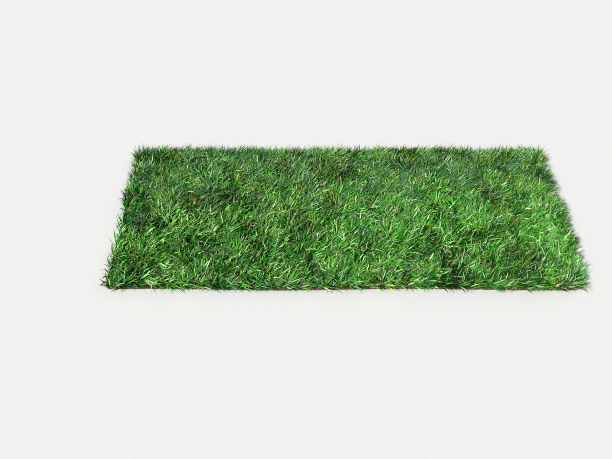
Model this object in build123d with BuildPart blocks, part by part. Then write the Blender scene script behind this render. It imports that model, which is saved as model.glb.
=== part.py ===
from build123d import *
import os
from math import cos, exp, pi, radians, sin

# A roll of turf laid out flat: one square metre of grass on the mat of soil and roots that it
# was cut with. Millimetres, +X along the roll, +Y across it, +Z up. The origin is the middle
# of the underside, on the ground.

# The mat, as the turf cutter lifts it
turf_length = 1640
turf_width = 610
mat_thickness = 18
mat_corner = 14
side_undercut = 2.0  # the side knives lean, so the underside is this much smaller a side
end_slant = 4.0  # the chopping knife falls while the machine moves, so both ends lean one way
end_bow = 3.0  # and the machine pulls the middle of the cut after it
worn_height = 4.0  # the lower edge crumbles over this height
worn_depth = 3.0  # and by this much

# Both long edges follow the cutter's path over the field
path_wander = 3.0
path_wave = 900
path_station = 150  # the path is known at places about this far apart

# The grass, which lies over towards +X and +Y. The solid ends where the blades close up;
# single tips stand up to 10 proud of it.
sward_height = 34
sward_corner = 24
lean_along = 10
lean_across = 8
root_inset = 2.0  # the outermost shoots stand this far inside the edge of the mat
skirt_spread = 7  # halfway up, the blades stand out this far past it
crown_inset = 10  # and the mown top draws in this far from it

# The mown top: shallow dips where the roll was bent, and low waves of thicker and thinner grass
dip_depth = 5.0
dip_half_width = 55
first_dip = 330  # from the middle towards -X
lap_length = 250
lap_growth = 150  # each lap of the roll is longer than the one inside it
clump_waves = [
    # length, heading in degrees from +X, height
    (420, 20, 1.4),
    (330, 75, 1.2),
    (270, -40, 1.0),
]
station_along = 65  # the top is shaped at places about this far apart
station_across = 90

mat_top = mat_thickness
mown_top = mat_top + sward_height


def spread_evenly(half_span, spacing):
    """Places about the spacing apart, from one end of the span to the other."""
    count = max(4, round(2 * half_span / spacing))
    return [half_span * (2 * step / count - 1) for step in range(count + 1)]


def cutter_path(x):
    """How far the cutter has strayed to the side at x."""
    return path_wander * sin(2 * pi * x / path_wave)


def turf_outline(grow, radius, shift_x=0.0, shift_y=0.0):
    """The turf in plan, grown and shifted: two long edges beside the path and two chopped ends."""
    half_length = turf_length / 2 + grow
    half_width = turf_width / 2 + grow
    stations = spread_evenly(half_length, path_station)
    front = [(x + shift_x, cutter_path(x) - half_width + shift_y) for x in stations]
    back = [(x, y + 2 * half_width) for x, y in reversed(front)]
    bow_right = (half_length + end_bow + shift_x, shift_y)
    bow_left = (-half_length + end_bow + shift_x, shift_y)
    with BuildLine() as cuts:
        Spline(front)
        ThreePointArc(front[-1], bow_right, back[0])
        Spline(back)
        ThreePointArc(back[-1], bow_left, front[0])
    plan = make_face(cuts.edges())
    fillet(plan.vertices(), radius)


def lap_dips():
    """Where the dips of the laps cross the turf, from the -X end on."""
    place, step, dips = -first_dip, lap_length, []
    while place < turf_length / 2:
        dips.append(place)
        place += step
        step += lap_growth
    return dips


def mown_height(x, y):
    """How high the tips of the grass stand over (x, y)."""
    dips = sum(exp(-(((x - dip) / dip_half_width) ** 2)) for dip in lap_dips())
    clumps = 0
    for length, heading, height in clump_waves:
        along_wave = x * cos(radians(heading)) + y * sin(radians(heading))
        clumps += height * sin(2 * pi * along_wave / length)
    return mown_top - dip_depth * dips + clumps


# The mat of soil and roots, from its crumbled lower edge up
with BuildPart() as soil_mat:
    with BuildSketch(Plane.XY):
        turf_outline(-side_undercut - worn_depth, mat_corner)
    with BuildSketch(Plane.XY.offset(worn_height)):
        turf_outline(-side_undercut, mat_corner)
    with BuildSketch(Plane.XY.offset(mat_top)):
        turf_outline(0, mat_corner, end_slant)
    loft(ruled=True)

# The grass as one closed body: a section for each level at which its sides turn
tallest_clump = sum(height for length, heading, height in clump_waves)
lofted_height = sward_height + 2 * tallest_clump
sward_levels = [
    # share of the height, reach past the edge of the mat, share of the lean
    (0.00, -root_inset, 0.0),
    (0.30, 0.7 * skirt_spread, 0.25),
    (0.60, skirt_spread, 0.65),
    (0.85, 0.4 * skirt_spread, 0.95),
    (1.00, -crown_inset, 1.0),
]
with BuildPart() as grass_sward:
    for rise, reach, lean in sward_levels:
        with BuildSketch(Plane.XY.offset(mat_top + rise * lofted_height)):
            shift_x = end_slant + lean * lean_along
            turf_outline(reach, sward_corner, shift_x, lean * lean_across)
    loft()

    # mown along the dips and the waves: what stands over the tips is cut away
    beyond = 2 * skirt_spread + lean_along + lean_across
    along = spread_evenly(turf_length / 2 + beyond, station_along)
    sky = mat_top + 2 * lofted_height
    for y in spread_evenly(turf_width / 2 + beyond, station_across):
        tips = [(x, mown_height(x, y)) for x in along]
        with BuildSketch(Plane.XZ.offset(-y)):
            with BuildLine():
                Spline(tips)
                Polyline(tips[-1], (along[-1], sky), (along[0], sky), tips[0])
            make_face()
    loft(mode=Mode.SUBTRACT)

soil_mat.part.label = "soil_mat"
grass_sward.part.label = "grass_sward"

os.makedirs("parts", exist_ok=True)
export_step(soil_mat.part, "parts/soil_mat.step")
export_step(grass_sward.part, "parts/grass_sward.step")
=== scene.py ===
import math
import random

import bmesh
import bpy
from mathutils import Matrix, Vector, geometry


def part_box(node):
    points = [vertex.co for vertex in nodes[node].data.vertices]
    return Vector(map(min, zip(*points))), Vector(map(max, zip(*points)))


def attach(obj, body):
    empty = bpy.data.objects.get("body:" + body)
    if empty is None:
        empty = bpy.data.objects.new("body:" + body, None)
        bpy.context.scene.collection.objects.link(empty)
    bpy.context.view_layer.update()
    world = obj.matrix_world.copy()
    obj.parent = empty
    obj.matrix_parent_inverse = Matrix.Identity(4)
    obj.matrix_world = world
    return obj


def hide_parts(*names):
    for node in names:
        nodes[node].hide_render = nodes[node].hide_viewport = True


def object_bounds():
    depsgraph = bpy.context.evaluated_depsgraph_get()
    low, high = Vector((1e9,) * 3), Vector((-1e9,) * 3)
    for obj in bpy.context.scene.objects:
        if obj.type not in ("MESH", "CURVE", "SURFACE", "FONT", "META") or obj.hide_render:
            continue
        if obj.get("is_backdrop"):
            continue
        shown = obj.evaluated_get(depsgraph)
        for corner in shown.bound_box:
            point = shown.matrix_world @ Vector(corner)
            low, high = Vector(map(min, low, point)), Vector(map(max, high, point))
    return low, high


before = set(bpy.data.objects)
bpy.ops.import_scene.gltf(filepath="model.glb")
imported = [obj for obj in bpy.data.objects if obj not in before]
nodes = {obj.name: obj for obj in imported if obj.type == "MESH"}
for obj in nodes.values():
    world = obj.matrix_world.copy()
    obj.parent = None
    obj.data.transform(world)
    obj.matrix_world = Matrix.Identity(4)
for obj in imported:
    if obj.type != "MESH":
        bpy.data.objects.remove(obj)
cadLow, cadHigh = (Vector(corner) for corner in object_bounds())
matLow, matHigh = (Vector(corner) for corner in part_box("soil_mat"))

mm = 0.001


# Camera, light and floor

view = {
    "place": (-0.126, -1.0345, 1.506),  # at standing height, in front of the turf
    "tiltDown": 56.9,
    "lens": 28.235,
    "sensor": 36.0,
}

studio = {
    "keyFrom": (-4.2, -3.4, 5.4),
    "keyWidth": 9.0,  # degrees of sky that the light fills
    "keyStrength": 4.1,
    "fillFrom": (3.6, 2.4, 3.4),
    "fillWidth": 30.0,
    "fillStrength": 0.30,
    "skyStrength": 0.15,
    "floorColour": (0.77, 0.77, 0.755, 1.0),
    "floorRoughness": 0.9,
    "floorSide": 40.0,
}


def addObject(name, data):
    made = bpy.data.objects.new(name, data)
    bpy.context.scene.collection.objects.link(made)
    return made


def placeCamera():
    camera = addObject("camera", bpy.data.cameras.new("camera"))
    camera.location = view["place"]
    camera.rotation_euler = (math.radians(90 - view["tiltDown"]), 0, 0)
    camera.data.lens = view["lens"]
    camera.data.sensor_width = view["sensor"]
    bpy.context.scene.camera = camera


def hangLight(name, comesFrom, width, strength):
    # A light from far away falls on the whole floor alike, so the floor stays one plain tone
    light = addObject(name, bpy.data.lights.new(name, "SUN"))
    light.data.angle = math.radians(width)
    light.data.energy = strength
    light.location = comesFrom
    light.rotation_euler = (-Vector(comesFrom)).to_track_quat("-Z", "Y").to_euler()


def paintSky():
    # Soft light all round, and plain white where the camera or a reflection looks straight at it
    world = bpy.data.worlds.new("sky")
    world.use_nodes = True
    bpy.context.scene.world = world
    sky = Wiring(world.node_tree)
    sky.tree.nodes.clear()
    seen = sky.node("ShaderNodeLightPath")
    straight = sky.math("MAXIMUM", seen.outputs["Is Camera Ray"], seen.outputs["Is Glossy Ray"])
    straight = sky.math("MAXIMUM", straight, seen.outputs["Is Transmission Ray"])
    strength = straight * (1 - studio["skyStrength"]) + studio["skyStrength"]
    background = sky.node("ShaderNodeBackground", {"Color": (1, 1, 1, 1), "Strength": strength})
    sky.node("ShaderNodeOutputWorld", {"Surface": background.outputs[0]})


def layFloor():
    half = studio["floorSide"] / 2
    mesh = bpy.data.meshes.new("floor")
    corners = [(-half, -half, 0), (half, -half, 0), (half, half, 0), (-half, half, 0)]
    mesh.from_pydata(corners, [], [(0, 1, 2, 3)])
    floor = addObject("floor", mesh)
    material, w, surface = newMaterial("paleFloor")
    w.feed(surface, {"Base Color": studio["floorColour"], "Roughness": studio["floorRoughness"]})
    mesh.materials.append(material)
    floor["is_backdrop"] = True


# Node trees are written as sums: a Term stands for a socket, and + - * / add the node that
# reckons it

def operator(operation, backwards=False):
    def addNode(self, other):
        first, second = (other, self) if backwards else (self, other)
        return self.wiring.reckon(operation, first, second)
    return addNode


class Term:
    __add__, __radd__ = operator("ADD"), operator("ADD", True)
    __sub__, __rsub__ = operator("SUBTRACT"), operator("SUBTRACT", True)
    __mul__, __rmul__ = operator("MULTIPLY"), operator("MULTIPLY", True)
    __truediv__, __rtruediv__ = operator("DIVIDE"), operator("DIVIDE", True)

    def __init__(self, wiring, socket):
        self.wiring = wiring
        self.socket = socket

    def __neg__(self):
        return self * -1.0


def isVector(term):
    return isinstance(term, Term) and term.socket.type in ("VECTOR", "RGBA")


class Wiring:
    def __init__(self, tree):
        self.tree = tree

    def node(self, kind, feeds=None, **settings):
        node = self.tree.nodes.new(kind)
        for name, value in settings.items():
            setattr(node, name, value)
        self.feed(node, feeds or {})
        return node

    def feed(self, node, feeds):
        # Gives each named socket a link or a plain value
        for name, term in feeds.items():
            socket = node.inputs[name]
            if isinstance(term, Term):
                term = term.socket
            if isinstance(term, bpy.types.NodeSocket):
                self.tree.links.new(term, socket)
            else:
                socket.default_value = term

    def term(self, kind, feeds=None, out=0, **settings):
        return Term(self, self.node(kind, feeds, **settings).outputs[out])

    def math(self, operation, *terms):
        return self.term("ShaderNodeMath", dict(enumerate(terms)), operation=operation)

    def reckon(self, operation, first, second):
        if not isVector(first) and not isVector(second):
            return self.math(operation, first, second)
        if operation == "MULTIPLY" and not (isVector(first) and isVector(second)):
            vector, factor = (first, second) if isVector(first) else (second, first)
            return self.term("ShaderNodeVectorMath", {0: vector, 3: factor}, operation="SCALE")
        return self.term("ShaderNodeVectorMath", {0: first, 1: second}, operation=operation)

    def vector(self, x, y, z=0.0):
        return self.term("ShaderNodeCombineXYZ", {0: x, 1: y, 2: z})

    def parts(self, vector):
        node = self.node("ShaderNodeSeparateXYZ", {0: vector})
        return [Term(self, socket) for socket in node.outputs]

    def unit(self, vector):
        return self.term("ShaderNodeVectorMath", {0: vector}, operation="NORMALIZE")

    def length(self, vector):
        return self.term("ShaderNodeVectorMath", {0: vector}, out="Value", operation="LENGTH")

    def ramp(self, value, low, high, toLow=0.0, toHigh=1.0):
        feeds = {0: value, 1: low, 2: high, 3: toLow, 4: toHigh}
        return self.term("ShaderNodeMapRange", feeds, interpolation_type="SMOOTHSTEP")

    def chance(self, seed, low=0.0, high=1.0):
        feeds = {2: low, 3: high, "Seed": seed}
        return self.term("FunctionNodeRandomValue", feeds, out=1, data_type="FLOAT")

    def luck(self, number):
        # The same number always draws the same lot
        return self.term("ShaderNodeTexWhiteNoise", {"W": number}, noise_dimensions="1D")

    def noise(self, place, scale, detail, roughness=0.5, dimensions="3D", out=0):
        feeds = {"Vector": place, "Scale": scale, "Detail": detail, "Roughness": roughness}
        return self.term("ShaderNodeTexNoise", feeds, out=out, noise_dimensions=dimensions)

    def mix(self, share, first, second, **settings):
        feeds = {0: share, 6: first, 7: second}
        return self.term("ShaderNodeMix", feeds, out=2, data_type="RGBA", **settings)

    def palette(self, factor, stops):
        # The first two stops are the ends of the ramp, and the others lie between them
        ramp = self.node("ShaderNodeValToRGB", {"Fac": factor})
        elements = ramp.color_ramp.elements
        for index, (place, colour) in enumerate(stops):
            element = elements[index] if index < 2 else elements.new(place)
            element.position = place
            element.color = (*colour, 1)
        return Term(self, ramp.outputs["Color"])

    def bump(self, height, strength, distance):
        feeds = {"Strength": strength, "Distance": distance, "Height": height}
        return self.term("ShaderNodeBump", feeds, out="Normal")

    def between(self, value, low, high):
        return self.math("MINIMUM", self.math("MAXIMUM", value, low), high)

    def notBelow(self, place, least):
        x, y, z = self.parts(place)
        return self.vector(x, y, self.math("MAXIMUM", z, least))

    def spaceAhead(self, place, heading, low, high):
        # How far it is from a place to the line at low or high that the heading points to
        line = low + self.math("GREATER_THAN", heading, 0.0) * (high - low)
        slowest = self.math("MAXIMUM", self.math("ABSOLUTE", heading), 0.02)
        return self.math("ABSOLUTE", line - place) / slowest


def newGroup(name, kind, inputs, outputs):
    # inputs and outputs map each socket's name to its type; the inputs' terms come back by name
    tree = bpy.data.node_groups.new(name, kind)
    for inOut, sockets in (("INPUT", inputs), ("OUTPUT", outputs)):
        for label, kindOf in sockets.items():
            tree.interface.new_socket(label, in_out=inOut, socket_type="NodeSocket" + kindOf)
    w = Wiring(tree)
    given = w.node("NodeGroupInput")
    return w, {label: Term(w, given.outputs[label]) for label in inputs}


def newMaterial(name):
    material = bpy.data.materials.new(name)
    material.use_nodes = True
    w = Wiring(material.node_tree)
    return material, w, w.tree.nodes["Principled BSDF"]


def scatterPoints(w, given):
    feeds = {"Mesh": given["Geometry"], "Density": given["Density"], "Seed": given["Seed"]}
    return w.node("GeometryNodeDistributePointsOnFaces", feeds, distribute_method="RANDOM")


def finishTree(w, geometry, material):
    smooth = w.term("GeometryNodeSetShadeSmooth", {"Geometry": geometry})
    whole = w.term("GeometryNodeRealizeInstances", {0: smooth})
    finished = w.term("GeometryNodeSetMaterial", {"Geometry": whole, "Material": material})
    w.node("NodeGroupOutput", {"Geometry": finished})
    return w.tree


# Blades and roots are both strips, planted on points and then bent

toneRows = 64  # strips are painted from this many rows of a palette
paintMargin = {"ends": 0.02, "sides": 0.08}  # the part of a row that a strip leaves free


def plantStrips(w, points, facts, segments):
    # Each point gets a flat strip, which carries the facts that its bending needs
    captured = w.node("GeometryNodeCaptureAttribute", {"Geometry": points})
    for name, fact in facts.items():
        captured.capture_items.new("VECTOR" if isVector(fact) else "FLOAT", name)
        w.feed(captured, {name: fact})
    strip = w.node("GeometryNodeMeshGrid", {0: 1.0, 1: 1.0, 2: 2, 3: segments + 1})
    stripPlace = w.node("GeometryNodeCaptureAttribute", {"Geometry": strip.outputs["Mesh"]})
    stripPlace.capture_items.new("VECTOR", "place")
    w.feed(stripPlace, {"place": w.term("GeometryNodeInputPosition")})
    feeds = {"Points": captured.outputs["Geometry"], "Instance": stripPlace.outputs["Geometry"]}
    planted = w.term("GeometryNodeInstanceOnPoints", feeds)
    strips = w.term("GeometryNodeRealizeInstances", {0: planted})
    across, along, _ = w.parts(stripPlace.outputs["place"])
    return strips, across, along + 0.5, [Term(w, captured.outputs[name]) for name in facts]


def finishStrips(w, strips, place, across, along, row, material):
    # Along the strip is U, and V picks a row of the palette and the place across the strip
    bent = w.term("GeometryNodeSetPosition", {"Geometry": strips, "Position": place})
    ends, sides = paintMargin["ends"], paintMargin["sides"]
    onRows = row + sides + (across + 0.5) * (1 - 2 * sides)
    paint = w.vector(ends + along * (1 - 2 * ends), onRows / toneRows)
    feeds = {"Geometry": bent, "Name": "OFBake", "Value": paint}
    painted = w.term("GeometryNodeStoreNamedAttribute", feeds, data_type="FLOAT2", domain="CORNER")
    return finishTree(w, painted, material)


def readPaintMap(w):
    uv = w.term("ShaderNodeUVMap", uv_map="OFBake")
    along, palette, _ = w.parts(uv)
    scaled = palette * toneRows
    row = w.math("FLOOR", scaled)
    return along, row, scaled - row


# Grass: one tree grows every kind of blade

bladeInputs = {
    "Geometry": "Geometry",  # the top of the mat
    "Sward": "Object",  # its top is the mown height
    "Material": "Material",
    "Seed": "Int",
    "Density": "Float",  # blades for each square metre, before thinning
    "Shortest": "Float",
    "Longest": "Float",
    "Width": "Float",
    "Segments": "Int",
    "Lie": "Float",  # the heading that the grass lies towards, in radians from +X
    "Wander": "Float",  # how far the heading turns from patch to patch
    "Scatter": "Float",  # and from blade to blade
    "Stand": "Float",  # the angle a blade leaves the ground at
    "Stand Spread": "Float",
    "Droop Least": "Float",  # how far it bends over by its tip
    "Droop Most": "Float",
    "Roll": "Float",
    "Tuft Size": "Float",
    "Tuft Fan": "Float",  # how strongly a tuft opens outwards
    "Tuft Gaps": "Float",  # the share of blades that grow far from a tuft's middle
    "Patch Side": "Float",  # how strongly a kind keeps to its patches, or below 0 off them
    "Patch Shift": "Float",  # where its patches lie
    "Overreach": "Float",  # how far a tip may miss the mown height
    "Tone": "Float",
    "Tone Patches": "Float",
    "Tone Tufts": "Float",
    "Tone Spread": "Float",
}

# Where the photo's grass is paler or darker than the rest
tonePatches = [
    # x, y, radius, change of tone
    (0.70, -0.04, 0.17, 0.22),
    (0.22, 0.08, 0.13, 0.16),
    (0.30, -0.14, 0.10, 0.12),
    (-0.14, 0.03, 0.11, 0.22),
    (-0.15, -0.19, 0.09, 0.16),
    (-0.58, -0.13, 0.13, 0.20),
    (-0.09, 0.19, 0.10, -0.18),
    (0.45, -0.10, 0.08, -0.20),
    (0.38, 0.24, 0.12, -0.14),
    (-0.30, -0.24, 0.09, -0.20),
    (-0.40, 0.06, 0.07, -0.14),
    (-0.76, 0.02, 0.11, -0.16),
    (0.06, -0.04, 0.15, 0.26),
    (0.20, -0.08, 0.15, 0.26),
    (-0.62, 0.13, 0.13, 0.22),
    (0.38, -0.25, 0.15, -0.45),
    (0.58, -0.23, 0.14, -0.34),
]

# Where the photo's grass is one purer green: ryegrass takes over from the paler kinds
kindPatches = [
    # x, y, radius, change
    (0.40, -0.01, 0.22, -0.26),
    (0.72, -0.02, 0.16, -0.12),
]

patchScale = 7.0  # patches of blades that lie one way
mottleScale = 10.0  # patches of one tone
kindScale = 9.0  # patches of one kind
kindDrift = 0.65  # the pale kinds grow thickest along the far side
kindValley = -0.145  # and thinnest along this line
kindLevel = 0.6  # where the noise is above this, the pale kinds take over
edgeSpill = 0.022  # some blades this near the edge of the mat fall out over it
edgeOverhang = 0.015  # and no blade reaches this far past the CAD box
tipsProud = 0.0065  # the CAD sward ends where the blades close up, and their tips stand over it
mostProud = 0.0100

# What blades of every kind share
habit = {
    "tuftHeart": 0.15,  # a tuft is full this far out from its middle, in sizes of a tuft
    "tuftRim": 0.75,  # and thin past this
    "strays": 0.06,  # the share of a kind that grows off its patches
    "tuftTurn": 1.8,  # how far a tuft turns as a whole, against Wander
    "spill": 1.9,  # how strongly blades fall out over an edge
    "rimStoop": 0.3,  # how much lower blades stand towards the rim of their tuft
    "leastStand": 0.15, "mostStand": 1.54,
    "leastBend": 0.12, "mostBend": 1.75,  # the most is against the angle it stands at
    "shortTuft": 0.62, "tallTuft": 1.28,
    "narrow": 0.7, "wide": 1.3,
    "twist": 0.9,
    "curl": 0.22,
    "footWidth": 0.55,  # a blade leaves the ground this narrow
    "footWidens": 1.6,
    "tipWidth": 0.03,  # squared
    "tipNarrows": 0.55,
    "lowest": 1.5 * mm,
}


def addPatches(w, value, x, y, patches):
    # Adds the change of each listed patch: all of it in the middle, none at the radius
    for patchX, patchY, radius, change in patches:
        away = w.length(w.vector(x - patchX, y - patchY))
        value = value + w.ramp(away, 0.0, radius, change, 0.0)
    return value


def spillOver(w, place, low, high):
    # 1 at the upper edge of the mat, -1 at its lower edge and 0 between them
    return w.ramp(place, high - edgeSpill, high) - w.ramp(-place, -low - edgeSpill, -low)


def makeBladeTree():
    w, given = newGroup("growBlades", "GeometryNodeTree", bladeInputs, {"Geometry": "Geometry"})
    seed = given["Seed"]

    # Where blades grow: scattered over the mat, thinner between tufts, each kind in its patches
    points = scatterPoints(w, given)
    root = w.term("GeometryNodeInputPosition")
    cell = w.node(
        "ShaderNodeTexVoronoi",
        {"Vector": root, "Scale": 1.0 / given["Tuft Size"], "Randomness": 1.0},
        voronoi_dimensions="2D",
        feature="F1",
    )
    cellChance, cellTurn, cellLength = w.parts(cell.outputs["Color"])
    rootX, rootY, rootZ = w.parts(root)
    centreX, centreY, _ = w.parts(cell.outputs["Position"])
    fan = w.vector(rootX - centreX, rootY - centreY) / w.vector(*[given["Tuft Size"]] * 3)
    spread = w.length(fan)
    keep = w.ramp(spread, habit["tuftHeart"], habit["tuftRim"], 1.0, given["Tuft Gaps"])
    kindPatch = w.noise(root + w.vector(given["Patch Shift"], 0.0), kindScale, 3.0, 0.65, "2D")
    kindPatch = kindPatch - kindLevel + w.math("ABSOLUTE", rootY - kindValley) * kindDrift
    kindPatch = addPatches(w, kindPatch, rootX, rootY, kindPatches)
    kindShare = 0.5 + kindPatch * given["Patch Side"]
    keep = keep * w.between(kindShare, habit["strays"], 1.0 - habit["strays"])
    surplus = w.math("GREATER_THAN", w.chance(seed + 1), keep)
    thinned = w.term(
        "GeometryNodeDeleteGeometry",
        {"Geometry": points.outputs["Points"], "Selection": surplus},
        domain="POINT",
    )

    # Which way a blade heads: with the sward, its patch and its tuft, and out over a near edge
    patch = w.noise(root, patchScale, 1.0, dimensions="2D")
    scatter = w.chance(seed + 2, -1.0) + w.chance(seed + 3, -1.0)
    heading = given["Lie"] + (patch - 0.5) * 4 * given["Wander"] + scatter * given["Scatter"]
    heading = heading + (cellTurn - 0.5) * habit["tuftTurn"] * given["Wander"]
    spillX = spillOver(w, rootX, matLow.x, matHigh.x)
    spillY = spillOver(w, rootY, matLow.y, matHigh.y)
    lean = w.vector(w.math("COSINE", heading), w.math("SINE", heading)) + fan * given["Tuft Fan"]
    fall = w.chance(seed + 14)
    lean = w.unit(lean + w.vector(spillX, spillY) * (fall * fall * habit["spill"]))

    # How a blade stands and bends, and where the mower cut it
    stand = given["Stand"] + w.chance(seed + 4, -1.0) * given["Stand Spread"]
    stand = stand - spread * habit["rimStoop"]
    stand = w.between(stand, habit["leastStand"], habit["mostStand"])
    droop = given["Droop Least"] + w.chance(seed + 5) * (given["Droop Most"] - given["Droop Least"])
    droop = w.between(droop, habit["leastBend"], stand * habit["mostBend"])
    reach = given["Shortest"] + w.chance(seed + 6) * (given["Longest"] - given["Shortest"])
    reach = reach * (habit["shortTuft"] + cellLength * (habit["tallTuft"] - habit["shortTuft"]))
    forward = reach * (w.math("SINE", stand) - w.math("SINE", stand - droop)) / droop
    leanX, leanY, _ = w.parts(lean)
    spaceX = w.spaceAhead(rootX, leanX, cadLow.x - edgeOverhang, cadHigh.x + edgeOverhang)
    spaceY = w.spaceAhead(rootY, leanY, cadLow.y - edgeOverhang, cadHigh.y + edgeOverhang)
    reach = reach * w.math("MINIMUM", w.math("MINIMUM", spaceX, spaceY) / forward, 1.0)
    swardTop = w.node("GeometryNodeObjectInfo", {"Object": given["Sward"]})
    drop = w.node(
        "GeometryNodeRaycast",
        {
            "Target Geometry": swardTop.outputs["Geometry"],
            "Source Position": root + w.vector(0.0, 0.0, 1.0),
            "Ray Direction": (0.0, 0.0, -1.0),
            "Ray Length": 2.0,
        },
    )
    room = w.parts(drop.outputs["Hit Position"])[2] - rootZ
    missed = w.chance(seed + 7, -1.0) * given["Overreach"] * room
    room = room + w.math("MINIMUM", missed + tipsProud, mostProud)
    lowest = w.math("MAXIMUM", stand - droop, 0.0)
    height = reach * (w.math("COSINE", lowest) - w.math("COSINE", stand)) / droop
    cutCosine = w.math("MINIMUM", w.math("COSINE", stand) + room * droop / reach, 1.0)
    cutShare = (stand - w.math("ARCCOSINE", cutCosine)) / droop
    tall = w.math("GREATER_THAN", height, room)
    share = 1.0 - tall * (1.0 - cutShare)

    narrow, wide = habit["narrow"], habit["wide"]
    width = given["Width"] * (narrow + w.chance(seed + 8) * (wide - narrow))
    roll = w.chance(seed + 9, -1.0) * given["Roll"]
    twist = w.chance(seed + 10, -1.0) * habit["twist"]
    curl = w.chance(seed + 11, -1.0) * habit["curl"]

    # The tone of its green: by patch, by tuft and by blade, with the listed patches
    mottle = w.noise(root + w.vector(3.0, 7.0), mottleScale, 2.0, 0.7, "2D")
    tone = given["Tone"] + (mottle - 0.5) * 2 * given["Tone Patches"]
    tone = tone + (cellChance - 0.5) * given["Tone Tufts"]
    tone = addPatches(w, tone, rootX, rootY, tonePatches)
    tone = tone + (w.chance(seed + 12, -1.0) + w.chance(seed + 13, -1.0)) * given["Tone Spread"]
    row = w.math("FLOOR", w.between(tone, 0.0, 0.999) * toneRows)

    facts = {"root": root, "lean": lean, "stand": stand, "droop": droop, "reach": reach}
    facts.update(share=share, width=width, roll=roll, twist=twist, curl=curl, row=row)
    blades, across, along, carried = plantStrips(w, thinned, facts, given["Segments"])
    root, lean, stand, droop, reach, share, width, roll, twist, curl, row = carried

    # The strip is bent to an arc that leaves the root at one angle and ends at a lower one
    grown = along * share
    angle = stand - droop * grown
    forward = reach * (w.math("SINE", stand) - w.math("SINE", angle)) / droop
    upward = reach * (w.math("COSINE", angle) - w.math("COSINE", stand)) / droop
    leanX, leanY, _ = w.parts(lean)
    side = w.vector(leanY, -leanX)
    face = w.vector(0.0, 0.0, w.math("COSINE", angle)) - lean * w.math("SINE", angle)
    turned = roll + twist * grown
    spanwise = side * w.math("COSINE", turned) + face * w.math("SINE", turned)
    taper = w.math("MINIMUM", habit["footWidth"] + habit["footWidens"] * grown, 1.0)
    pointed = w.math("MAXIMUM", 1.0 - grown * grown * grown, habit["tipWidth"])
    taper = taper * w.math("SQRT", pointed)
    taper = taper * (1.0 - habit["tipNarrows"] * along * along * along)
    place = root + lean * forward + side * (curl * reach * grown * grown)
    place = place + w.vector(0.0, 0.0, upward) + spanwise * (across * width * taper)
    place = w.notBelow(place, habit["lowest"])
    return finishStrips(w, blades, place, across, along, row, given["Material"])


def meshOf(shell, name):
    mesh = bpy.data.meshes.new(name)
    shell.to_mesh(mesh)
    shell.free()
    return mesh


def topOfMat():
    # A copy of the mat's upper face, for the grass to grow from
    shell = matShell()
    below = [face for face in shell.faces if face.calc_center_median().z < matHigh.z - 0.1 * mm]
    bmesh.ops.delete(shell, geom=below, context="FACES")
    return meshOf(shell, "matTop")


def runTree(name, mesh, tree, values):
    # Runs a tree on a mesh and keeps the plain mesh that it makes
    source = addObject(name + "Source", mesh)
    modifier = source.modifiers.new("grow", "NODES")
    modifier.node_group = tree
    for item in tree.interface.items_tree:
        if item.in_out == "INPUT" and item.name in values:
            modifier[item.identifier] = values[item.name]
    evaluated = source.evaluated_get(bpy.context.evaluated_depsgraph_get())
    grown = bpy.data.meshes.new_from_object(evaluated)
    grown.name = name
    bpy.data.objects.remove(source)
    return addObject(name, grown)


# The mat: its cut sides are rebuilt from the CAD outlines in columns and rows that are fine
# enough to crumble, and its faces from scattered points

mat = {
    "columns": 2400,  # round the outline
    "rowHeights": (0.0, 1.0, 2.4, 4.0, 6.0, 8.0, 10.0, 12.0, 14.0, 16.2, 18.0),  # in millimetres
    "topSpacing": 8.5 * mm,
    "undersideSpacing": 11.0 * mm,
    "capMargin": 9.0 * mm,
    "capJitter": 0.3,  # against the spacing
    "seed": 5,
    "merge": 0.02 * mm,  # points of its parts this near are one
}
levelNormal = 0.9  # a face is level where its normal is steeper than this


def matShell():
    shell = bmesh.new()
    shell.from_mesh(nodes["soil_mat"].data)
    bmesh.ops.remove_doubles(shell, verts=shell.verts, dist=0.01 * mm)
    bmesh.ops.recalc_face_normals(shell, faces=shell.faces)
    return shell


def outlineAt(shell, height):
    # The CAD mat's outline at one of the heights it was lofted through, anticlockwise from +X
    ahead = {}
    for edge in shell.edges:
        level = all(abs(vert.co.z - height) < 0.05 * mm for vert in edge.verts)
        if level and any(abs(face.normal.z) < levelNormal for face in edge.link_faces):
            for vert in edge.verts:
                ahead.setdefault(vert, []).append(edge.other_vert(vert))
    start = max(ahead, key=lambda vert: (vert.co.x, -abs(vert.co.y)))
    loop, previous, here = [start.co.copy()], None, start
    while True:
        step = next(vert for vert in ahead[here] if vert is not previous)
        if step is start:
            break
        previous, here = here, step
        loop.append(here.co.copy())
    area = sum(a.x * b.y - b.x * a.y for a, b in zip(loop, loop[1:] + loop[:1]))
    if area < 0:
        loop = loop[:1] + loop[:0:-1]
    return spaceOut(loop, mat["columns"])


def spaceOut(loop, count):
    # The loop again, from y = 0, as points that lie equally far apart
    ends = loop + loop[:1]
    lengths = [(b - a).length for a, b in zip(ends, ends[1:])]
    total = sum(lengths)
    spaced, run, done = [], 0, 0.0
    for index in range(count):
        place = total * index / count
        while done + lengths[run] < place:
            done += lengths[run]
            run += 1
        spaced.append(ends[run].lerp(ends[run + 1], (place - done) / lengths[run]))
    turn = min(range(count), key=lambda index: (spaced[index].x < 0, abs(spaced[index].y)))
    return spaced[turn:] + spaced[:turn]


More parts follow.
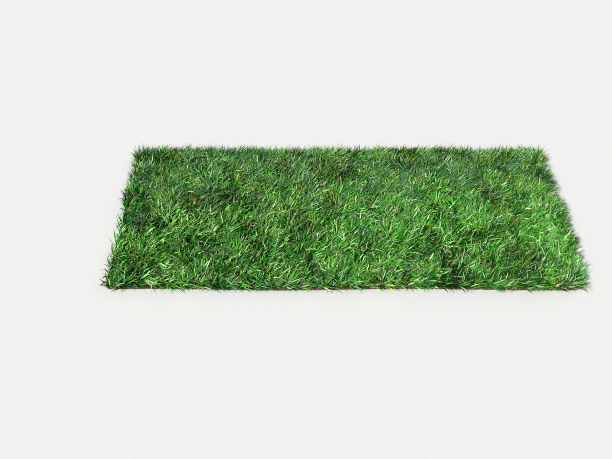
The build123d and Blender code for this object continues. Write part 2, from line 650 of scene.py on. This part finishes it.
def capMat(shell, loop, spacing, upward, dice):
    # Fills an outline with scattered points, joined up into even triangles
    flat = [point.to_2d() for point in loop]
    edges = [(index, (index + 1) % len(flat)) for index in range(len(flat))]
    margin, jitter = mat["capMargin"], mat["capJitter"]
    x = matLow.x + margin
    while x < matHigh.x - margin:
        y = matLow.y + margin
        while y < matHigh.y - margin:
            shiftX = dice.uniform(-jitter, jitter) * spacing
            shiftY = dice.uniform(-jitter, jitter) * spacing
            flat.append(Vector((x + shiftX, y + shiftY)))
            y += spacing
        x += spacing
    points, _, faces, *_ = geometry.delaunay_2d_cdt(flat, edges, [], 1, 1e-7)
    verts = [shell.verts.new((point.x, point.y, loop[0].z)) for point in points]
    for face in faces:
        made = shell.faces.new([verts[index] for index in face])
        made.normal_update()
        if (made.normal.z > 0) != upward:
            made.normal_flip()


def rebuildMat():
    cad = matShell()
    heights = sorted({round(vert.co.z / mm, 2) for vert in cad.verts})
    outlines = [outlineAt(cad, height * mm) for height in heights]
    cad.free()
    shell = bmesh.new()
    rows = []
    for rowHeight in mat["rowHeights"]:
        upper = next(index for index in range(1, len(heights)) if heights[index] >= rowHeight)
        share = (rowHeight - heights[upper - 1]) / (heights[upper] - heights[upper - 1])
        pairs = zip(outlines[upper - 1], outlines[upper])
        rows.append([shell.verts.new(below.lerp(above, share)) for below, above in pairs])
    for below, above in zip(rows, rows[1:]):
        for index in range(len(below)):
            after = (index + 1) % len(below)
            shell.faces.new((below[index], below[after], above[after], above[index]))
    dice = random.Random(mat["seed"])
    capMat(shell, outlines[-1], mat["topSpacing"], True, dice)
    capMat(shell, outlines[0], mat["undersideSpacing"], False, dice)
    bmesh.ops.remove_doubles(shell, verts=shell.verts, dist=mat["merge"])
    return meshOf(shell, "matBody")


def sidesOfMat():
    # Only the cut sides, for roots and stones to sit on
    shell = matShell()
    flat = [face for face in shell.faces if abs(face.normal.z) > levelNormal]
    bmesh.ops.delete(shell, geom=flat, context="FACES")
    return meshOf(shell, "matSides")


crumbleInputs = {
    "Geometry": "Geometry",
    "Material": "Material",
    "Crumb Size": "Float",
    "Crumb Depth": "Float",
    "Lump Size": "Float",
    "Lump Depth": "Float",
    "Underside Lift": "Float",  # the soil stands this far off the ground between its lowest crumbs
}


def makeCrumbleTree():
    w, given = newGroup("crumbleSoil", "GeometryNodeTree", crumbleInputs, {"Geometry": "Geometry"})
    place = w.term("GeometryNodeInputPosition")
    outward = w.term("GeometryNodeInputNormal")
    warp = w.noise(place, soil["warpScale"], 1.0, out="Color") - (0.5, 0.5, 0.5)
    feeds = {"Vector": place + warp * soil["warp"], "Scale": 1.0 / given["Crumb Size"]}
    feeds["Smoothness"] = soil["crumbSmoothness"]
    crumb = w.term("ShaderNodeTexVoronoi", feeds, feature="SMOOTH_F1")
    grit = w.noise(place, soil["gritScale"], 2.0)
    lump = w.noise(place, 1.0 / given["Lump Size"], 2.0)
    offset = (soil["crumbLevel"] - crumb) * given["Crumb Depth"] * 2
    offset = offset + (grit - 0.5) * given["Crumb Depth"]
    offset = offset + (lump - soil["lumpLevel"]) * given["Lump Depth"] * 2
    _, _, upward = w.parts(outward)
    lift = w.ramp(-upward, 0.5, levelNormal) * given["Underside Lift"]
    moved = w.notBelow(place + outward * offset + w.vector(0.0, 0.0, lift), 0.0)
    shaped = w.term("GeometryNodeSetPosition", {"Geometry": given["Geometry"], "Position": moved})
    return finishTree(w, shaped, given["Material"])


def makeGrainGroup():
    # The grain of mineral earth, on crumbs and stones alike
    inputs = {"Grain Scale": "Float", "Contrast": "Float"}
    outputs = {"Shade": "Float", "Height": "Float"}
    w, given = newGroup("earthGrain", "ShaderNodeTree", inputs, outputs)
    grain = w.noise(w.term("ShaderNodeTexCoord", out="Object"), given["Grain Scale"], 2.0)
    shade = (grain - 0.5) * given["Contrast"] + 1.0
    w.node("NodeGroupOutput", {"Shade": shade, "Height": grain})
    return w.tree


def earthGrain(w, grainGroup, look):
    feeds = {"Grain Scale": look["grainScale"], "Contrast": look["grainContrast"]}
    grain = w.node("ShaderNodeGroup", feeds, node_tree=grainGroup)
    return Term(w, grain.outputs["Shade"]), Term(w, grain.outputs["Height"])


def soilMaterial(grainGroup):
    material, w, surface = newMaterial("rooty_soil")
    place = w.term("ShaderNodeTexCoord", out="Object")
    patch = w.noise(place, soil["patchScale"], 3.0)
    clod = w.noise(place, soil["clodScale"], 4.0, 0.65)
    shade, grain = earthGrain(w, grainGroup, soil)
    damp = w.ramp(patch + (clod - 0.5) * soil["clodShare"], *soil["dampFromTo"])
    colour = w.palette(damp, soil["palette"]) * shade
    fleck = w.node("ShaderNodeTexVoronoi", {"Vector": place, "Scale": soil["sandScale"]})
    isFleck = w.ramp(Term(w, fleck.outputs["Distance"]), *soil["sandEdge"], 1.0, 0.0)
    chosen = w.math("GREATER_THAN", w.parts(fleck.outputs["Color"])[0], 1.0 - soil["sandShare"])
    sandy = isFleck * chosen * soil["sandStrength"]
    height = clod * soil["clodHeight"] + grain * soil["grainHeight"]
    w.feed(surface, {
        "Base Color": w.mix(sandy, colour, (*soil["sand"], 1)),
        "Roughness": soil["roughness"] - damp * soil["dampShine"],
        "Specular IOR Level": soil["specular"],
        "Normal": w.bump(height, soil["bump"], soil["bumpDepth"]),
    })
    return material


soil = {
    "Crumb Size": 0.0065, "Crumb Depth": 0.0021, "Lump Size": 0.045, "Lump Depth": 0.0016,
    "Underside Lift": 0.0012,
    "palette": [
        (0.0, (0.120, 0.072, 0.042)),
        (1.0, (0.026, 0.015, 0.009)),
        (0.5, (0.062, 0.036, 0.020)),
    ],
    "sand": (0.34, 0.26, 0.17), "sandShare": 0.10, "sandStrength": 0.8,
    "sandScale": 260.0, "sandEdge": (0.16, 0.24),
    "patchScale": 14.0, "clodScale": 120.0, "grainScale": 900.0, "grainContrast": 0.6,
    "clodShare": 0.9, "dampFromTo": (0.36, 0.66),
    "roughness": 0.95, "dampShine": 0.1, "specular": 0.25,
    "clodHeight": 1.2, "grainHeight": 0.5, "bump": 0.8, "bumpDepth": 1.2 * mm,
    "warpScale": 160.0, "warp": 0.005,  # crumbs are bent out of round
    "crumbSmoothness": 0.35, "crumbLevel": 0.45, "lumpLevel": 0.55, "gritScale": 420.0,
}


def layMat(grainGroup):
    values = {name: value for name, value in soil.items() if name in crumbleInputs}
    values["Material"] = soilMaterial(grainGroup)
    piece = runTree("soil", rebuildMat(), makeCrumbleTree(), values)
    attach(piece, "root")
    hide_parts("soil_mat")
    print(f"soil: {sum(len(face.vertices) - 2 for face in piece.data.polygons)} triangles")


# Roots: threads that come out of the cut soil, run along it and go back in

rootInputs = {
    "Geometry": "Geometry",  # the faces they grow on
    "Material": "Material",
    "Seed": "Int",
    "Density": "Float",
    "Segments": "Int",
    "Shortest": "Float",
    "Longest": "Float",
    "Width": "Float",
    "Lift": "Float",  # how far the middle of a thread stands off the soil
    "Wiggle": "Float",
    "Hang": "Float",  # how strongly threads head downwards
    "Overhang": "Float",  # how far past the mat's box a thread may lie
    "Least Height": "Float",
}


# What roots everywhere share
thread = {
    "slimmest": 0.35, "stouter": 1.3,  # against Width
    "liftSpread": (0.2, 1.6),
    "sunk": 0.35,  # how deep both ends lie in the soil, against the lift
    "sways": 1.6,
    "twist": 40,  # radians from end to end
    "taper": 0.75,
}


def makeRootTree():
    w, given = newGroup("threadRoots", "GeometryNodeTree", rootInputs, {"Geometry": "Geometry"})
    seed = given["Seed"]
    points = scatterPoints(w, given)
    start = w.term("GeometryNodeInputPosition")
    outward = Term(w, points.outputs["Normal"])
    looseX, looseY, looseZ = (w.chance(seed + draw, -1.0) for draw in (1, 2, 3))
    loose = w.vector(looseX, looseY, looseZ - given["Hang"])
    feeds = {0: loose, 1: outward}
    inward = w.term("ShaderNodeVectorMath", feeds, out="Value", operation="DOT_PRODUCT")
    heading = w.unit(loose - outward * inward)
    side = w.term("ShaderNodeVectorMath", {0: heading, 1: outward}, operation="CROSS_PRODUCT")
    slim = w.chance(seed + 4)
    facts = {"start": start, "outward": outward, "heading": heading, "side": side}
    facts["reach"] = given["Shortest"] + w.chance(seed + 5) * (given["Longest"] - given["Shortest"])
    facts["width"] = given["Width"] * (thread["slimmest"] + slim * slim * thread["stouter"])
    facts["lift"] = given["Lift"] * w.chance(seed + 6, *thread["liftSpread"])
    facts["row"] = w.math("FLOOR", w.chance(seed + 7) * 0.999 * toneRows)
    facts["turn"] = w.chance(seed + 8, 0.0, 50.0)
    scattered = points.outputs["Points"]
    threads, across, along, carried = plantStrips(w, scattered, facts, given["Segments"])
    start, outward, heading, side, reach, width, lift, row, turn = carried

    # A thread sways as it runs, rises off the soil in the middle and twists from end to end
    sway = w.noise(w.vector(along * thread["sways"] + turn, row * 0.37, turn * 2), 1.0, 2.0)
    rise = lift * w.math("SINE", along * math.pi) - lift * thread["sunk"]
    place = start + heading * (along * reach) + outward * rise
    place = place + side * ((sway - 0.5) * given["Wiggle"] * 4 * reach * along)
    twist = along * thread["twist"] + turn
    thick = across * (width * (1.0 - along * along * thread["taper"]))
    place = place + (side * w.math("COSINE", twist) + outward * w.math("SINE", twist)) * thick
    x, y, z = w.parts(place)
    x = w.between(x, matLow.x - given["Overhang"], matHigh.x + given["Overhang"])
    y = w.between(y, matLow.y - given["Overhang"], matHigh.y + given["Overhang"])
    place = w.vector(x, y, w.between(z, given["Least Height"], matHigh.z + thick))
    return finishStrips(w, threads, place, across, along, row, given["Material"])


def rootMaterial():
    material, w, surface = newMaterial("root_thread")
    along, row, across = readPaintMap(w)
    beads = w.math("SINE", along * rootLook["joints"] + row)
    joints = w.ramp(beads, 0.4, 1.0, 1.0, rootLook["jointShade"])
    soiled = w.ramp(along, 0.0, 0.5, rootLook["soiledShade"], 1.0)
    w.feed(surface, {
        "Base Color": w.palette(w.luck(row), rootLook["palette"]) * joints * soiled,
        "Roughness": rootLook["roughness"] + across * 0.1,
        "Specular IOR Level": rootLook["specular"],
        "Normal": w.bump(joints, rootLook["bump"], rootLook["bumpDepth"]),
    })
    return material


sideRoots = {
    "Seed": 211, "Density": 88000.0, "Segments": 6,
    "Shortest": 0.006, "Longest": 0.024, "Width": 0.0005,
    "Lift": 0.0014, "Wiggle": 0.6, "Hang": 0.8, "Overhang": 0.004, "Least Height": 0.0003,
}
undersideRoots = {
    "Seed": 223, "Density": 3000.0, "Segments": 6,
    "Shortest": 0.020, "Longest": 0.070, "Width": 0.0007,
    "Lift": 0.0004, "Wiggle": 0.7, "Hang": 0.0, "Overhang": -0.008, "Least Height": 0.0003,
}
rootLook = {
    "palette": [
        (0.0, (0.50, 0.38, 0.24)),
        (1.0, (0.10, 0.058, 0.032)),
        (0.45, (0.27, 0.18, 0.105)),
    ],
    "joints": 37, "jointShade": 0.72, "soiledShade": 0.6,
    "roughness": 0.7, "specular": 0.25, "bump": 0.5, "bumpDepth": 0.2 * mm,
}
undersideInset = 0.6 * mm  # roots start this far up inside the lowest crumbs


def undersideOfMat():
    # The underside as a face that looks down
    shell = matShell()
    others = [face for face in shell.faces if face.normal.z > -levelNormal]
    bmesh.ops.delete(shell, geom=others, context="FACES")
    for vert in shell.verts:
        vert.co.z += undersideInset
    return meshOf(shell, "matUnderside")


def spreadRoots():
    tree = makeRootTree()
    material = rootMaterial()
    places = {
        "side_roots": (sidesOfMat, sideRoots),
        "underside_roots": (undersideOfMat, undersideRoots),
    }
    for name, (surface, values) in places.items():
        piece = runTree(name, surface(), tree, dict(values, Material=material))
        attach(piece, "root")
        print(f"{name}: {2 * len(piece.data.polygons)} triangles")


# Small stones and hard crumbs, half sunk in the cut sides

stoneInputs = {
    "Geometry": "Geometry",
    "Material": "Material",
    "Seed": "Int",
    "Density": "Float",
    "Smallest": "Float",
    "Largest": "Float",
    "Roughness": "Float",
    "Least Height": "Float",
}
stoneSides = [(0.8, 1.3), (0.7, 1.1), (0.5, 0.9)]  # of a stone's size, along X, Y and Z
stoneSunk = 0.3  # of its size
knockScale = 260.0
fullTurn = 6.28


def makeStoneTree():
    w, given = newGroup("setStones", "GeometryNodeTree", stoneInputs, {"Geometry": "Geometry"})
    seed = given["Seed"]
    points = scatterPoints(w, given)
    small = w.chance(seed + 1)
    size = given["Smallest"] + small * small * small * (given["Largest"] - given["Smallest"])
    inward = Term(w, points.outputs["Normal"]) * (size * -stoneSunk)
    feeds = {"Geometry": points.outputs["Points"], "Offset": inward}
    sunk = w.term("GeometryNodeSetPosition", feeds)
    flat = w.vector(*(w.chance(seed + 2 + axis, *stoneSides[axis]) for axis in range(3)))
    turn = w.vector(*(w.chance(seed + 5 + axis, 0.0, fullTurn) for axis in range(3)))
    pebble = w.term("GeometryNodeMeshIcoSphere", {"Radius": 0.5, "Subdivisions": 2}, out="Mesh")
    placed = w.term(
        "GeometryNodeInstanceOnPoints",
        {"Points": sunk, "Instance": pebble, "Rotation": turn, "Scale": flat * size},
    )
    pebbles = w.term("GeometryNodeRealizeInstances", {0: placed})
    place = w.term("GeometryNodeInputPosition")
    knock = (w.noise(place, knockScale, 1.0) - 0.5) * given["Roughness"]
    moved = w.notBelow(place + w.term("GeometryNodeInputNormal") * knock, given["Least Height"])
    shaped = w.term("GeometryNodeSetPosition", {"Geometry": pebbles, "Position": moved})
    return finishTree(w, shaped, given["Material"])


def stoneMaterial(grainGroup):
    material, w, surface = newMaterial("field_stone")
    place = w.term("ShaderNodeTexCoord", out="Object")
    shade, grain = earthGrain(w, grainGroup, stoneLook)
    kind = w.ramp(w.noise(place, stoneLook["patchScale"], 2.0), *stoneLook["bareFromTo"])
    colour = w.mix(kind, (*stoneLook["soiled"], 1), (*stoneLook["bare"], 1))
    w.feed(surface, {
        "Base Color": colour * shade,
        "Roughness": stoneLook["roughness"] + grain * 0.2,
        "Normal": w.bump(grain, stoneLook["bump"], stoneLook["bumpDepth"]),
    })
    return material


stones = {
    "Seed": 307, "Density": 3200.0, "Smallest": 0.0016, "Largest": 0.0080,
    "Roughness": 0.0036, "Least Height": 0.0002,
}
stoneLook = {
    "soiled": (0.060, 0.038, 0.024), "bare": (0.17, 0.14, 0.11),
    "patchScale": 60.0, "bareFromTo": (0.35, 0.65), "grainScale": 1400.0, "grainContrast": 0.5,
    "roughness": 0.72, "bump": 0.4, "bumpDepth": 0.3 * mm,
}


def setStones(grainGroup):
    values = dict(stones, Material=stoneMaterial(grainGroup))
    piece = runTree("stones", sidesOfMat(), makeStoneTree(), values)
    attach(piece, "root")
    print(f"stones: {len(piece.data.polygons)} triangles")


# What leaves of every kind share: a fold along the middle, veins, a sheath at the ground that
# is darkened with painted shade, a dry tip, and a hue of their own

leafInputs = {
    "Green": "Color",
    "Sheath Shade": "Color",
    "Dry": "Color",
    "Dry Tips": "Float",
    "Sheath Shade Length": "Float",
    "Hue Spread": "Float",
    "Shade Spread": "Float",
    "Wax Sheen": "Float",
    "Gloss": "Float",
}
leafOutputs = {"Color": "Color", "Roughness": "Float", "Height": "Float"}
leaf = {
    "veins": 5, "veinShade": 0.05, "veinHeight": 0.06,
    "ribWidth": 0.28, "ribHighlightStrength": 0.14,
    "shade": 0.93, "blotches": 0.5,
    "sheathShadeFrom": 0.04,
    "dryBefore": 0.08, "dryAfter": 0.06, "dryDulls": 0.25,
    # the pale colour of the painted sheen, and the luck from which leaves take it
    "sheenFrom": 0.62, "sheenColour": (0.73, 0.88, 0.58, 1),
    "hueTurn": 0.9, "brightRed": 0.6, "brightBlue": 0.9,  # bright leaves are paler too
    "darkHues": 1.2, "paleHues": 0.65,  # the palest leaves stray least
    "bump": 0.7, "bumpDepth": 0.4 * mm,
}


def makeLeafGroup():
    w, given = newGroup("leafFinish", "ShaderNodeTree", leafInputs, leafOutputs)
    along, row, across = readPaintMap(w)
    luck = w.luck(row)
    redTurn = w.luck(row + 70.5) - 0.5
    blueTurn = w.luck(row + 140.5) - 0.5
    vein = w.math("SINE", across * 2 * math.pi * leaf["veins"])
    fold = w.math("ABSOLUTE", across - 0.5) * 2
    # Each leaf is painted lighter along the middle of its fold: a painted highlight on the crease
    ribHighlight = w.ramp(fold, 0.0, leaf["ribWidth"], 1.0, 0.0)
    # Towards the ground each leaf fades to its sheath colour: partly a real darker sheath, partly
    # painted shade of the sward's depth
    sheathShade = w.ramp(along, leaf["sheathShadeFrom"], given["Sheath Shade Length"], 1.0, 0.0)
    dryFrom = 1.0 - given["Dry Tips"] * luck
    dry = w.ramp(along, dryFrom - leaf["dryBefore"], dryFrom + leaf["dryAfter"])
    blotch = w.noise(w.vector(along * 7, across * 1.5, row * 3.7), 1.0, 3.0)
    shade = leaf["shade"] + vein * leaf["veinShade"] + ribHighlight * leaf["ribHighlightStrength"]
    shade = shade + (blotch - 0.5) * leaf["blotches"] + (luck - 0.5) * given["Shade Spread"]
    hueSpread = given["Hue Spread"] * (leaf["darkHues"] - (row / toneRows) * leaf["paleHues"])
    redder = 1.0 + redTurn * hueSpread * leaf["hueTurn"] + (luck - 0.5) * leaf["brightRed"]
    bluer = 1.0 + blueTurn * hueSpread * leaf["hueTurn"] + (luck - 0.5) * leaf["brightBlue"]
    own = given["Green"] * shade * w.vector(redder, 1.0, bluer)
    # The luckiest leaves are mixed towards a pale colour: a painted sheen that stands for the gloss
    # of waxy leaves
    sheenShare = w.ramp(luck, leaf["sheenFrom"], 1.0) * given["Wax Sheen"]  # waxy blades shine back paler
    green = w.mix(sheenShare, own, leaf["sheenColour"], clamp_result=True)
    colour = w.mix(dry, w.mix(sheathShade, green, given["Sheath Shade"]), given["Dry"])
    roughness = given["Gloss"] + vein * leaf["veinShade"] + dry * leaf["dryDulls"]
    height = fold + vein * leaf["veinHeight"]
    w.node("NodeGroupOutput", {"Color": colour, "Roughness": roughness, "Height": height})
    return w.tree


def bladeMaterial(name, leafGroup, look):
    material, w, surface = newMaterial(name)
    _, row, _ = readPaintMap(w)
    finish = w.node(
        "ShaderNodeGroup",
        {
            "Green": w.palette((row + 0.5) / toneRows, look["palette"]),
            "Sheath Shade": (*look["sheathShade"], 1),
            "Dry": (*look["dry"], 1),
            "Dry Tips": look["dryTips"],
            "Sheath Shade Length": look["sheathShadeLength"],
            "Hue Spread": look["hueSpread"],
            "Shade Spread": look["shadeSpread"],
            "Wax Sheen": look["waxSheen"],
            "Gloss": look["roughness"],
        },
        node_tree=leafGroup,
    )
    w.feed(surface, {
        "Base Color": finish.outputs["Color"],
        "Roughness": finish.outputs["Roughness"],
        "Specular IOR Level": look["specular"],
        "Normal": w.bump(finish.outputs["Height"], leaf["bump"], leaf["bumpDepth"]),
    })
    return material


# The kinds of grass in the sward. Lengths are in metres and angles in degrees.

# Each look's sheath colour is the dark base of its leaves, partly real sheath and partly painted
# shade
ryegrass = {
    "Seed": 11, "Density": 60000, "Segments": 5, "Patch Side": -5.0, "Patch Shift": 0.0,
    "Shortest": 0.042, "Longest": 0.074, "Width": 0.0045,
    "Lie": 38, "Wander": 36, "Scatter": 41, "Stand": 60, "Stand Spread": 20,
    "Droop Least": 20, "Droop Most": 75, "Roll": 55,
    "Tuft Size": 0.034, "Tuft Fan": 0.55, "Tuft Gaps": 0.25, "Overreach": 0.16,
    "Tone": 0.51, "Tone Patches": 1.1, "Tone Tufts": 0.5, "Tone Spread": 0.20,
}
# In every look, wax is how much painted sheen the luckiest leaves take
ryegrassLook = {
    "palette": [
        (0.0, (0.003, 0.042, 0.0015)),
        (1.0, (0.450, 0.810, 0.260)),
        (0.35, (0.019, 0.186, 0.007)),
        (0.7, (0.158, 0.585, 0.060)),
    ],
    "sheathShade": (0.018, 0.056, 0.004), "dry": (0.42, 0.34, 0.12),
    "dryTips": 0.08, "sheathShadeLength": 0.5, "hueSpread": 0.9, "shadeSpread": 1.2,
    "waxSheen": 0.5, "roughness": 0.38, "specular": 0.03,
}

meadowGrass = {
    "Seed": 37, "Density": 70000, "Segments": 4, "Patch Side": 8.0, "Patch Shift": 0.0,
    "Shortest": 0.034, "Longest": 0.060, "Width": 0.0031,
    "Lie": 44, "Wander": 42, "Scatter": 51, "Stand": 60, "Stand Spread": 24,
    "Droop Least": 15, "Droop Most": 85, "Roll": 60,
    "Tuft Size": 0.028, "Tuft Fan": 0.7, "Tuft Gaps": 0.3, "Overreach": 0.2,
    "Tone": 0.55, "Tone Patches": 1.1, "Tone Tufts": 0.5, "Tone Spread": 0.22,
}
meadowGrassLook = {
    "palette": [
        (0.0, (0.009, 0.045, 0.004)),
        (1.0, (0.580, 0.830, 0.390)),
        (0.4, (0.066, 0.236, 0.008)),
        (0.75, (0.325, 0.665, 0.112)),
    ],
    "sheathShade": (0.024, 0.060, 0.003), "dry": (0.46, 0.36, 0.13),
    "dryTips": 0.12, "sheathShadeLength": 0.5, "hueSpread": 0.9, "shadeSpread": 1.2,
    "waxSheen": 0.5, "roughness": 0.42, "specular": 0.03,
}

fescue = {
    "Seed": 71, "Density": 96000, "Segments": 3, "Patch Side": 9.0, "Patch Shift": 5.0,
    "Shortest": 0.034, "Longest": 0.066, "Width": 0.0014,
    "Lie": 38, "Wander": 36, "Scatter": 60, "Stand": 62, "Stand Spread": 24,
    "Droop Least": 20, "Droop Most": 95, "Roll": 80,
    "Tuft Size": 0.042, "Tuft Fan": 0.9, "Tuft Gaps": 0.15, "Overreach": 0.22,
    "Tone": 0.50, "Tone Patches": 1.05, "Tone Tufts": 0.45, "Tone Spread": 0.22,
}
fescueLook = {
    "palette": [
        (0.0, (0.003, 0.042, 0.013)),
        (1.0, (0.300, 0.800, 0.440)),
        (0.5, (0.026, 0.250, 0.088)),
    ],
    "sheathShade": (0.018, 0.052, 0.006), "dry": (0.40, 0.34, 0.14),
    "dryTips": 0.12, "sheathShadeLength": 0.5, "hueSpread": 0.9, "shadeSpread": 1.2,
    "waxSheen": 0.5, "roughness": 0.46, "specular": 0.03,
}

youngShoots = {
    "Seed": 97, "Density": 44000, "Segments": 3, "Patch Side": 0.0, "Patch Shift": 0.0,
    "Shortest": 0.018, "Longest": 0.036, "Width": 0.0020,
    "Lie": 40, "Wander": 40, "Scatter": 80, "Stand": 72, "Stand Spread": 18,
    "Droop Least": 10, "Droop Most": 50, "Roll": 80,
    "Tuft Size": 0.03, "Tuft Fan": 0.4, "Tuft Gaps": 0.6, "Overreach": 0.1,
    "Tone": 0.5, "Tone Patches": 1.05, "Tone Tufts": 0.45, "Tone Spread": 0.25,
}
youngShootsLook = {
    "palette": [
        (0.0, (0.026, 0.140, 0.014)),
        (1.0, (0.360, 0.720, 0.060)),
    ],
    "sheathShade": (0.022, 0.064, 0.004), "dry": (0.30, 0.40, 0.08),
    "dryTips": 0.05, "sheathShadeLength": 0.4, "hueSpread": 0.9, "shadeSpread": 1.2,
    "waxSheen": 0.5, "roughness": 0.44, "specular": 0.03,
}

deadLeaves = {
    "Seed": 131, "Density": 18000, "Segments": 3, "Patch Side": 5.0, "Patch Shift": 9.0,
    "Shortest": 0.014, "Longest": 0.046, "Width": 0.0019,
    "Lie": 36, "Wander": 60, "Scatter": 120, "Stand": 40, "Stand Spread": 30,
    "Droop Least": 10, "Droop Most": 40, "Roll": 70,
    "Tuft Size": 0.05, "Tuft Fan": 0.3, "Tuft Gaps": 0.7, "Overreach": 0.1,
    "Tone": 0.45, "Tone Patches": 0.7, "Tone Tufts": 0.3, "Tone Spread": 0.22,
}
deadLeavesLook = {
    "palette": [
        (0.0, (0.170, 0.072, 0.030)),
        (1.0, (0.760, 0.600, 0.300)),
        (0.35, (0.380, 0.165, 0.055)),
        (0.7, (0.560, 0.330, 0.090)),
    ],
    "sheathShade": (0.12, 0.07, 0.035), "dry": (0.30, 0.14, 0.06),
    "dryTips": 0.4, "sheathShadeLength": 0.4, "hueSpread": 0.3, "shadeSpread": 0.5,
    "waxSheen": 0.0, "roughness": 0.7, "specular": 0.2,
}

swardKinds = {
    "ryegrass": (ryegrass, ryegrassLook),
    "meadow_grass": (meadowGrass, meadowGrassLook),
    "fescue": (fescue, fescueLook),
    "young_shoots": (youngShoots, youngShootsLook),
    "dead_leaves": (deadLeaves, deadLeavesLook),
}


bladeAngles = (
    "Lie", "Wander", "Scatter", "Stand", "Stand Spread", "Droop Least", "Droop Most", "Roll",
)


def growGrass(name, kind, look, tree, leafGroup):
    values = dict(kind)
    for angle in bladeAngles:
        values[angle] = math.radians(values[angle])
    values["Sward"] = nodes["grass_sward"]
    values["Material"] = bladeMaterial(name + "_finish", leafGroup, look)
    piece = runTree(name, topOfMat(), tree, values)
    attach(piece, "root")
    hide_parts("grass_sward")
    print(f"{name}: {2 * len(piece.data.polygons)} triangles")


bpy.context.scene.view_settings.view_transform = "Standard"
placeCamera()
paintSky()
layFloor()
hangLight("key", studio["keyFrom"], studio["keyWidth"], studio["keyStrength"])
hangLight("fill", studio["fillFrom"], studio["fillWidth"], studio["fillStrength"])

grainGroup = makeGrainGroup()
layMat(grainGroup)
spreadRoots()
setStones(grainGroup)
bladeTree = makeBladeTree()
leafGroup = makeLeafGroup()
for name, (kind, look) in swardKinds.items():
    growGrass(name, kind, look, bladeTree, leafGroup)

bpy.context.scene.cycles.use_denoising = False  # it smears blades this thin
bpy.context.scene.cycles.filter_width = 1.0
